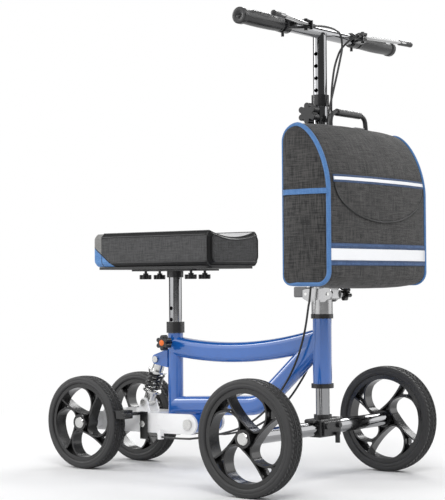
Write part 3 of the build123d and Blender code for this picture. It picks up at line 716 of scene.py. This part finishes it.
bagLook = {
    "around": 260, "across": 96, "rearCornerR": 0.034, "lowerFrontR": 0.026, "lowerRearR": 0.018,
    "archDrop": 0.128, "archPower": 1.7, "crown": 0.0078, "sideBulge": 0.0060, "wrinkle": 0.0008,
    "rings": 26, "flapTop": 0.604, "flapDrop": 0.074, "flapHalf": 0.164, "stripLow": 0.6065,
    "stripHigh": 0.6125,
    "bandLow": 0.4530, "bandHigh": 0.4755, "tapeLow": 0.4430, "tapeHigh": 0.4860,
    "pocketLow": 0.5800, "pocketHigh": 0.5905, "bindingWide": 0.0046, "bindingThick": 0.0030,
}
bagLow, bagHigh = corners("bag_body")


def archQuarter(centre, rx, rz, start, end, power=2.0, steps=60):
    # quarter of a superellipse from one direction to another, angles in degrees
    angle = np.radians(np.linspace(start, end, steps))
    c, s = np.cos(angle), np.sin(angle)
    return np.stack([centre[0] + rx * np.sign(c) * np.abs(c) ** (2 / power),
                     centre[1] + rz * np.sign(s) * np.abs(s) ** (2 / power)], -1)


def bagOutline():
    # side view of the bag, evenly spaced round it from the middle of the rear face over the top
    look = bagLook
    x0, x1, z0, z1 = bagLow[0], bagHigh[0], bagLow[2], bagHigh[2]
    r, f, b = look["rearCornerR"], look["lowerFrontR"], look["lowerRearR"]
    pieces = [
        np.array([[x0, (z0 + z1) / 2]]),
        archQuarter((x0 + r, z1 - r), r, r, 180, 90),
        archQuarter((x0 + r, z1 - look["archDrop"]), x1 - x0 - r, look["archDrop"], 90, 0,
                    look["archPower"]),
        archQuarter((x1 - f, z0 + f), f, f, 0, -90),
        archQuarter((x0 + b, z0 + b), b, b, -90, -180),
        np.array([[x0, (z0 + z1) / 2]]),
    ]
    line = np.concatenate(pieces)
    gaps = np.r_[0, np.cumsum(np.linalg.norm(np.diff(line, axis=0), axis=1))]
    even = np.linspace(0, gaps[-1], look["around"], endpoint=False)
    line = np.stack([np.interp(even, gaps, line[:, i]) for i in (0, 1)], -1)
    tangent = np.roll(line, -1, axis=0) - np.roll(line, 1, axis=0)
    tangent /= np.linalg.norm(tangent, axis=1, keepdims=True)
    normal = np.stack([-tangent[:, 1], tangent[:, 0]], -1)
    return line, normal, even


bagLine, bagNormal, bagRun = bagOutline()
aheadOfRear = bagLine[:, 0] > bagLow[0] + bagLook["rearCornerR"]
frontPart = np.where(aheadOfRear & (bagLine[:, 1] > bagLow[2] + 0.008))[0]


def bagSkin(run, y, lift=0.0):
    # point of the cloth at a place round the outline and across the width; it crowns between the seams
    look = bagLook
    half = bagHigh[1]
    x, z = (np.interp(run, bagRun, bagLine[:, i]) for i in (0, 1))
    nx, nz = (np.interp(run, bagRun, bagNormal[:, i]) for i in (0, 1))
    share = np.clip(np.abs(y) / half, 0, 1)
    forward = smoothStep(x, bagLow[0] + 0.006, bagLow[0] + 0.05)
    crown = look["crown"] * (1 - share ** 2.6) * forward
    crown = crown + look["wrinkle"] * ripples(run, y, 11, 12, 6, 26) * (1 - share ** 6) * forward
    crown = crown - 0.0014 * np.exp(-((share - 0.965) / 0.02) ** 2) * forward
    out = crown + lift
    return stacked(x + nx * out, y, z + nz * out)


def runAtHeight(z):
    # place round the outline of a height on the front face
    heights, runs = bagLine[frontPart, 1], bagRun[frontPart]
    order = np.argsort(heights)
    return np.interp(z, heights[order], runs[order])


def frontAt(z):
    # forward edge of the side panel at a height
    return np.interp(z, bagLine[frontPart, 1][::-1], bagLine[frontPart, 0][::-1])


def bagPatch(name, z, y, material, lift, thickness):
    # layer sewn on the front: a grid of heights and places across, raised off the cloth
    run = runAtHeight(z)
    points = bagSkin(run, y, lift)
    uv = stacked(y, -run)
    piece = gridPiece(name, points, materials[material], uv=uv)
    turnTowards(piece, (1, 0, 0))
    thicken(piece, thickness, 1.0)
    fasten(piece, "stem")


def addBagShell():
    # closed bag: the strip round the outline, and a side panel of shrinking rings that bulges a little
    look = bagLook
    half = bagHigh[1]
    y = np.linspace(-half, half, look["across"])
    run = bagRun[:, None]
    strip = bagSkin(run, y[None, :])
    uvStrip = stacked(y[None, :], -run)
    shell = gridPiece("bag_shell", strip, materials["bag_cloth"], closeRows=True, uv=uvStrip)
    centre = np.array([(bagLow[0] + bagHigh[0]) / 2 - 0.006, (bagLow[2] + bagHigh[2]) / 2 - 0.02])
    parts = [shell]
    for sign, label in ((-1, "right"), (1, "left")):
        share = np.linspace(1, 0, look["rings"])[:, None, None]
        flat = centre + (bagLine - centre)[None] * share
        bulge = look["sideBulge"] * (1 - share[..., 0] ** 2.4)
        bulge = bulge + look["wrinkle"] * 1.5 * ripples(flat[..., 0], flat[..., 1], 23 + sign, 10, 6, 20) * (
            1 - share[..., 0] ** 5)
        points = np.stack([flat[..., 0], sign * (half + bulge), flat[..., 1]], -1)
        parts.append(gridPiece(f"bag_side_{label}", points, materials["bag_cloth"], closeColumns=True,
                               uv=flat))
    with bpy.context.temp_override(active_object=shell, selected_editable_objects=parts,
                                   selected_objects=parts):
        bpy.ops.object.join()
    sealAndTurnOut(shell, 1.5e-4)
    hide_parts("bag_body")
    fasten(shell, "stem")


def addBagTrim():
    look = bagLook
    half = bagHigh[1]
    rows = np.linspace(0, 1, 14)[:, None]

    def across(reach, columns=70):
        return np.linspace(-reach, reach, columns)[None, :]

    def heights(low, high):
        return low + (high - low) * rows

    wide = half - 0.003
    low, high = look["tapeLow"], look["tapeHigh"]
    layers = (
        ("bag_tape", low, high, "navy_tape", 0.0004, 0.0007),
        ("bag_tape_upper", high - 0.006, high - 0.0015, "dull_blue", 0.0010, 0.0004),
        ("bag_tape_lower", low + 0.0015, low + 0.006, "dull_blue", 0.0010, 0.0004),
        ("bag_band", look["bandLow"], look["bandHigh"], "reflective_tape", 0.0012, 0.0006),
    )
    for name, low, high, material, lift, thickness in layers:
        bagPatch(name, heights(low, high), across(wide), material, lift, thickness)
    v = np.linspace(-1, 1, 90)[None, :]
    drop = look["flapDrop"] * np.sqrt(np.clip(1 - v ** 2, 0, 1)) * rows
    bagPatch("bag_flap", look["flapTop"] - drop, look["flapHalf"] * v + 0 * rows, "bag_cloth", 0.0006,
             0.0018)
    bagPatch("bag_strip_tape", heights(look["stripLow"] - 0.0042, look["stripHigh"] + 0.0042),
             across(look["flapHalf"] + 0.003), "navy_tape", 0.0022, 0.0006)
    bagPatch("bag_strip", heights(look["stripLow"], look["stripHigh"]), across(look["flapHalf"] + 0.002),
             "reflective_tape", 0.0030, 0.0004)
    turn = np.linspace(0.02, np.pi - 0.02, 60)
    edgeZ = look["flapTop"] - look["flapDrop"] * np.sin(turn)
    edge = bagSkin(runAtHeight(edgeZ), -look["flapHalf"] * np.cos(turn), 0.0020)
    binding = tubePiece("bag_flap_edge", edge, 0.0015, materials["trim_vinyl"])
    fasten(binding, "stem")
    for sign, label in ((-1, "right"), (1, "left")):
        # flat binding folded over the seam: an oval section carried round the outline
        ring = fullTurn(14)[None, :]
        out = look["bindingThick"] * np.cos(ring)
        frontShare = 0.3 + 0.7 * smoothStep(bagLine[:, :1], bagLow[0] + 0.004, bagLow[0] + 0.034)
        along = look["bindingWide"] * np.sin(ring) * frontShare
        lift = 0.72 * out - 0.72 * along - 0.0012
        y = sign * (half - 0.0012 + 0.72 * out + 0.72 * along)
        x = bagLine[:, :1] + bagNormal[:, :1] * lift
        z = bagLine[:, 1:] + bagNormal[:, 1:] * lift
        points = stacked(x, y, z)
        uv = stacked(bagRun[:, None], look["bindingWide"] * np.sin(ring))
        piece = gridPiece(f"bag_binding_{label}", points, materials["blue_tape"], closeRows=True,
                          closeColumns=True, uv=uv)
        sealAndTurnOut(piece)
        fasten(piece, "stem")
        # side pocket: raised panel with a blue top edge
        inset = 0.006
        z = np.linspace(bagLow[2] + 0.02, look["pocketLow"] + 0.004, 40)[:, None]
        frontX = frontAt(z) - inset
        s = np.linspace(0, 1, 24)[None, :]
        x = bagLow[0] + inset + (frontX - bagLow[0] - inset) * s
        swell = np.sin(np.pi * s) ** 0.6 * smoothStep(z, bagLow[2] + 0.02, bagLow[2] + 0.09)
        y = sign * (half + 0.0012 + 0.0072 * swell)
        points = stacked(x, y, z)
        uv = stacked(x, z + 0 * x)
        pocket = gridPiece(f"bag_pocket_{label}", points, materials["bag_cloth"], uv=uv)
        turnTowards(pocket, (0, sign, 0))
        thicken(pocket, 0.0012, -1.0)
        fasten(pocket, "stem")
        z = np.linspace(look["pocketLow"], look["pocketHigh"], 8)[:, None]
        frontX = frontAt(z) - inset
        x = bagLow[0] + 0.002 + (frontX - bagLow[0] + 0.002) * s
        y = sign * (half + 0.0022 + 0.0072 * np.sin(np.pi * s) ** 0.6) + 0 * z
        points = stacked(x, y, z)
        uv = stacked(x, z + 0 * x)
        edgeTape = gridPiece(f"bag_pocket_edge_{label}", points, materials["blue_tape"], uv=uv)
        turnTowards(edgeTape, (0, sign, 0))
        thicken(edgeTape, 0.0010, 1.0)
        fasten(edgeTape, "stem")


handleLook = {"half": 0.066, "topHalf": 0.046, "tube": 0.0048, "grip": 0.0074}


def addBagHandle():
    look = handleLook
    low, high = corners("bag_handle")
    x = (low[0] + high[0]) / 2
    top = high[2] - look["tube"]
    side = [(x, -look["half"], bagHigh[2] - 0.004), (x, -look["half"] + 0.001, bagHigh[2] + 0.012),
            (x, -look["half"] + 0.004, bagHigh[2] + 0.026), (x, -look["topHalf"] - 0.004, top - 0.001),
            (x, -look["topHalf"] + 0.008, top)]
    route = side + [(x, 0, top)] + [(px, -py, pz) for px, py, pz in reversed(side)]
    tube = tubePiece("bag_handle_tube", route, look["tube"], materials["trim_vinyl"], sides=6)
    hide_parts("bag_handle")
    fasten(tube, "stem")
    s = np.linspace(0, 1, 60)
    radius = look["tube"] + (look["grip"] - look["tube"]) * smoothStep(np.minimum(s, 1 - s), 0.0, 0.05)
    radius = radius + 0.0002 * np.sin(s * 2 * np.pi * 26)
    profile = np.stack([s * 2 * look["topHalf"] - look["topHalf"], radius], -1)
    profile = np.concatenate([[[profile[0, 0], 0.001]], profile, [[profile[-1, 0], 0.001]]])
    grip = turned("bag_handle_grip", profile, (x, 0, top - 0.0006), (0, 1, 0), materials["knob_plastic"], 32)
    fasten(grip, "stem")
    # stitched tab that holds the bag's top to the stem
    u = np.linspace(-1, 1, 20)[:, None]
    v = np.linspace(0, 1, 20)[None, :]
    points = np.stack([bagLow[0] + 0.002 + 0.040 * v + 0 * u, 0.034 + 0.016 * u + 0 * v,
                       bagHigh[2] + 0.0055 - 0.006 * (1 - v) ** 2 + 0 * u], -1)
    uv = stacked(0.016 * u, 0.04 * v)
    tab = gridPiece("bag_top_tab", points, materials["tab_grey"], uv=uv)
    thicken(tab, 0.0020, -1.0)
    fasten(tab, "stem")


addBagShell()
addBagTrim()
addBagHandle()
print("bag done")


# knee pad

padLook = {
    "bevel": 0.0085, "dip": 0.0130, "endBevel": 0.0085, "rows": 62, "endRings": 9,
    "coverLong": 0.031, "bootLong": 0.066, "bootHigh": 0.050, "seamR": 0.0015, "tight": 0.0012,
}
padLow, padHigh = corners("knee_pad")


def padMaterial(name, source):
    # copy of a finish with the rear cover and the coloured lower corner marked off by place
    look = padLook
    material = materials[source].copy()
    material.name = name
    tree = material.node_tree
    shader = tree.nodes["Principled BSDF"]
    old = shader.inputs["Base Color"].links[0].from_socket
    place = addNode(tree, "ShaderNodeTexCoord").outputs["Object"]
    parts = addNode(tree, "ShaderNodeSeparateXYZ")
    link(tree, place, parts.inputs[0])
    x = mathNode(tree, "SUBTRACT", parts.outputs[0], float(padLow[0]))
    z = mathNode(tree, "SUBTRACT", parts.outputs[2], float(padLow[2]))
    cover = mathNode(tree, "LESS_THAN", x, look["coverLong"])
    slope = mathNode(tree, "ADD", mathNode(tree, "DIVIDE", x, look["bootLong"]),
                     mathNode(tree, "DIVIDE", z, look["bootHigh"]))
    boot = mathNode(tree, "LESS_THAN", slope, 1.0)
    coverSeam = mathNode(tree, "COMPARE", x, look["coverLong"], 0.0008)
    bootSeam = mathNode(tree, "COMPARE", slope, 1.0, 0.026)
    grain = useGroup(tree, weaveGroup, place, Threads=900.0, Streak=420.0)
    grey = mixColor(tree, grain.outputs["Heather"], (0.19, 0.187, 0.18), (0.26, 0.257, 0.25))
    blue = mixColor(tree, grain.outputs["Heather"], (0.075, 0.19, 0.44), (0.13, 0.29, 0.58))
    color = mixColor(tree, cover, old, grey)
    color = mixColor(tree, boot, color, blue)
    color = mixColor(tree, mathNode(tree, "MAXIMUM", coverSeam, bootSeam), color, (0.008, 0.008, 0.009))
    link(tree, color, shader.inputs["Base Color"])
    materials[name] = material
    return material


def padSection():
    # outline of the pad across, starting under the middle: flat base, bevels, sides, hollow top
    look = padLook
    half = padHigh[1] - look["tight"]
    z0, z1, b = padLow[2] + 0.0004, padHigh[2], look["bevel"]

    def run(start, end, count):
        share = np.linspace(0, 1, count, endpoint=False)[:, None]
        return np.array(start) + (np.array(end) - np.array(start)) * share

    y = np.linspace(half - b, -(half - b), 44, endpoint=False)
    top = np.stack([y, z1 - look["dip"] * (1 - (y / (half - b)) ** 2)], -1)
    parts = [run((0, z0), (half - b, z0), 16), run((half - b, z0), (half, z0 + b), 3),
             run((half, z0 + b), (half, z1 - b), 14), run((half, z1 - b), (half - b, z1), 3), top]
    left = [run((-(half - b), z1), (-half, z1 - b), 3), run((-half, z1 - b), (-half, z0 + b), 14),
            run((-half, z0 + b), (-(half - b), z0), 3), run((-(half - b), z0), (0, z0), 16)]
    marks = np.concatenate([np.full(len(part), kind) for part, kind in zip(parts + left,
                            (2, 1, 0, 1, 3, 1, 0, 1, 2))])
    return np.concatenate(parts + left), marks


def addPad():
    look = padLook
    section, marks = padSection()
    middleZ = (padLow[2] + padHigh[2]) / 2
    centre = np.array([0, middleZ])
    x0, x1, b = padLow[0] + look["tight"], padHigh[0] - look["tight"], look["endBevel"]
    x = np.r_[np.linspace(x0 + b, x1 - b, look["rows"])]
    half = np.array([padHigh[1], (padHigh[2] - padLow[2]) / 2])
    bevelled = centre + (section - centre) * (1 - b / half)
    rings = np.linspace(1, 0, look["endRings"])[:, None, None]
    endFace = centre + (bevelled - centre) * rings
    rearRings = np.concatenate([np.full((look["endRings"], len(section), 1), x0), endFace], -1)[::-1]
    frontRings = np.concatenate([np.full((look["endRings"], len(section), 1), x1), endFace], -1)
    body = np.concatenate([np.broadcast_to(x[:, None, None], (len(x), len(section), 1)),
                           np.broadcast_to(section, (len(x), *section.shape))], -1)
    points = np.concatenate([rearRings, body, frontRings])
    across = np.r_[0, np.cumsum(np.linalg.norm(np.diff(section, axis=0), axis=1))]
    along = np.r_[x0 - 0.08 * (1 - rings[::-1, 0, 0]), x, x1 + 0.08 * (1 - rings[:, 0, 0])]
    uv = stacked(along[:, None], across[None, :])
    for part in (slice(0, look["endRings"]), slice(-look["endRings"], None)):
        uv[part] = points[part][..., 1:]
    piece = gridPiece("pad_cover", points, padMaterial("pad_side", "pad_cloth"), closeColumns=True,
                      uv=uv)
    piece.data.materials.append(padMaterial("pad_trim", "pad_vinyl"))
    # the pad's top takes pale cloth: painted highlight, its light colour stands in for the sheen along the
    # top
    piece.data.materials.append(padMaterial("pad_top_painted_highlight", "pale_cloth_painted_highlight"))
    rowKind = np.zeros(len(points) - 1, dtype=int)
    rowKind[[look["endRings"] - 1, look["endRings"] + look["rows"] - 1]] = 1
    index = np.where(rowKind[:, None] + np.isin(marks, (1, 2))[None, :] > 0, 1, 0)
    onBody = (np.arange(len(points) - 1) >= look["endRings"])[:, None]
    onBody = onBody & (np.arange(len(points) - 1) < look["endRings"] + look["rows"] - 1)[:, None]
    ends = ~onBody & (rowKind[:, None] == 0)
    index = np.where((marks == 3)[None, :] & onBody, 2, np.where(ends, 0, index)).astype(np.int32)
    piece.data.polygons.foreach_set("material_index", index.ravel())
    sealAndTurnOut(piece)
    smooth = piece.modifiers.new("smooth", "SUBSURF")
    smooth.levels = smooth.render_levels = 1
    applyModifiers(piece)
    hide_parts("knee_pad")
    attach(piece, "seat")
    # piped seams along the bevels and round the front end
    half = padHigh[1] - look["tight"]
    z0, z1 = padLow[2] + 0.0004, padHigh[2]
    for sign, label in ((-1, "right"), (1, "left")):
        for height, tag, yy, rear in (
                (z1 - look["bevel"], "side_upper", half, look["coverLong"]),
                (z1 - 0.0004, "top", half - look["bevel"], look["coverLong"]),
                (z0 + look["bevel"], "side_lower", half, look["bootLong"] * 0.86)):
            line = [(xx, sign * yy, height) for xx in np.linspace(padLow[0] + rear, x1 - b, 12)]
            pipe = tubePiece(f"pad_piping_{tag}_{label}", line, look["seamR"], materials["trim_vinyl"])
            fasten(pipe, "seat")
    for xx, ring, tag in ((x1 - b, section, "front"), (x1, bevelled, "front_face")):
        line = np.c_[np.full(len(ring), xx), ring]
        pipe = tubePiece(f"pad_piping_{tag}", line[::2], look["seamR"] * 0.9, materials["trim_vinyl"],
                         cyclic=True)
        fasten(pipe, "seat")


addPad()
print("pad done")


# small trims

trimLook = {"capR": 0.0068, "capRise": 0.0016, "sunk": 0.0006}


def addKnobCap():
    low, high = corners("seat_knob")
    x, z = (low[0] + high[0]) / 2, (low[2] + high[2]) / 2
    s = np.linspace(0, np.pi / 2, 9)
    look = trimLook
    rise = (look["capRise"] + look["sunk"]) * np.sin(s) - look["sunk"]
    profile = np.stack([rise, look["capR"] * np.cos(s) ** 0.6], -1)
    profile = np.concatenate([[[-look["sunk"], 0.0]], profile])
    piece = turned("seat_knob_cap", profile, (x, low[1], z), (0, -1, 0), materials["orange_cap"], 40)
    fasten(piece, "seat_knob")


addKnobCap()


# floor, light, camera

stageLook = {
    "floorSize": 12.0, "floorColor": (0.93, 0.93, 0.935), "clearFrom": 0.75, "clearTo": 1.7,
    "dim": 0.11, "top": 0.6, "panels": ((-118, 34, 1.75), (46, 26, 1.9), (150, 22, 0.9)), "diffuse": 0.62,
}


def addStage():
    # floor that fades into plain white away from the part
    look = stageLook
    size = look["floorSize"]
    floorMaterial, tree, shader = newMaterial("studio_floor", Roughness=0.7, Specular_IOR_Level=0.1)
    shader.inputs["Base Color"].default_value = (*look["floorColor"], 1)
    place = addNode(tree, "ShaderNodeTexCoord").outputs["Object"]
    away = addNode(tree, "ShaderNodeVectorMath", operation="LENGTH")
    link(tree, place, away.inputs[0])
    fade = ramp(tree, away.outputs["Value"], 0.0, 1.0, look["clearFrom"], look["clearTo"])
    glow = addNode(tree, "ShaderNodeEmission")
    mix = addNode(tree, "ShaderNodeMixShader")
    link(tree, fade, mix.inputs[0])
    link(tree, shader.outputs[0], mix.inputs[1])
    link(tree, glow.outputs[0], mix.inputs[2])
    link(tree, mix.outputs[0], tree.nodes["Material Output"].inputs["Surface"])
    rear, front = [[-size, -size, 0.0], [-size, size, 0.0]], [[size, -size, 0.0], [size, size, 0.0]]
    floor = gridPiece("floor", np.array([front, rear]), floorMaterial, smooth=False)


def addWorld():
    # white to the camera; reflections see tall bright panels with dark gaps between, diffuse light is even
    look = stageLook
    world = bpy.data.worlds.new("studio")
    world.use_nodes = True
    scene.world = world
    tree = world.node_tree
    background = tree.nodes["Background"]
    background.inputs[0].default_value = (1, 1, 1, 1)
    rays = addNode(tree, "ShaderNodeLightPath")
    parts = addNode(tree, "ShaderNodeSeparateXYZ")
    link(tree, addNode(tree, "ShaderNodeNewGeometry").outputs["Incoming"], parts.inputs[0])
    x, y, z = (mathNode(tree, "MULTIPLY", parts.outputs[i], -1.0) for i in range(3))
    total = ramp(tree, z, look["dim"], look["top"], 0.6, 0.92)
    around = mathNode(tree, "ARCTAN2", y, x)
    for middle, half, bright in look["panels"]:
        turned = mathNode(tree, "SUBTRACT", around, math.radians(middle))
        close = mathNode(tree, "COSINE", turned)
        edge = math.cos(math.radians(half))
        panel = ramp(tree, close, 0.0, bright, edge - 0.02, edge + 0.02)
        total = mathNode(tree, "MAXIMUM", total, panel)
    straight = rays.outputs["Is Camera Ray"]
    shiny = rays.outputs["Is Glossy Ray"]
    level = mathNode(tree, "MULTIPLY", total, shiny)
    plain = mathNode(tree, "MULTIPLY", mathNode(tree, "SUBTRACT", 1.0, shiny), look["diffuse"])
    level = mathNode(tree, "ADD", level, plain)
    link(tree, mathNode(tree, "MAXIMUM", level, straight), background.inputs[1])


def addLight(name, place, target, size, power, color=(1, 1, 1)):
    data = bpy.data.lights.new(name, "AREA")
    data.shape, data.size, data.size_y = "RECTANGLE", size[0], size[1]
    data.energy, data.color = power, color
    lamp = bpy.data.objects.new(name, data)
    lamp.location = place
    direction = Vector(target) - Vector(place)
    lamp.rotation_euler = direction.to_track_quat("-Z", "Y").to_euler()
    scene.collection.objects.link(lamp)


def addCamera():
    view = {
        "x": 1.7174, "y": -2.5242, "z": 0.4116, "yaw": 38.04, "pitch": -1.26, "roll": -0.40, "lens": 106.98,
    }
    data = bpy.data.cameras.new("view")
    data.sensor_fit, data.sensor_width, data.lens = "AUTO", 36.0, view["lens"]
    data.clip_start, data.clip_end = 0.05, 60
    camera = bpy.data.objects.new("view", data)
    turn = Matrix.Rotation(math.radians(view["yaw"]), 4, "Z") @ Matrix.Rotation(
        math.radians(90 - view["pitch"]), 4, "X") @ Matrix.Rotation(math.radians(view["roll"]), 4, "Z")
    camera.matrix_world = Matrix.Translation((stemX + view["x"], view["y"], view["z"])) @ turn
    scene.collection.objects.link(camera)
    scene.camera = camera


addStage()
addWorld()
addLight("key", (2.2, -2.6, 3.0), (0, 0, 0.35), (1.6, 1.6), 70)
addLight("side", (-2.8, -1.6, 1.7), (0, 0, 0.45), (0.9, 2.2), 38)
addLight("rim", (-0.6, 3.0, 2.3), (0, 0, 0.5), (2.4, 0.8), 45)
addCamera()
scene.view_settings.view_transform = "Standard"
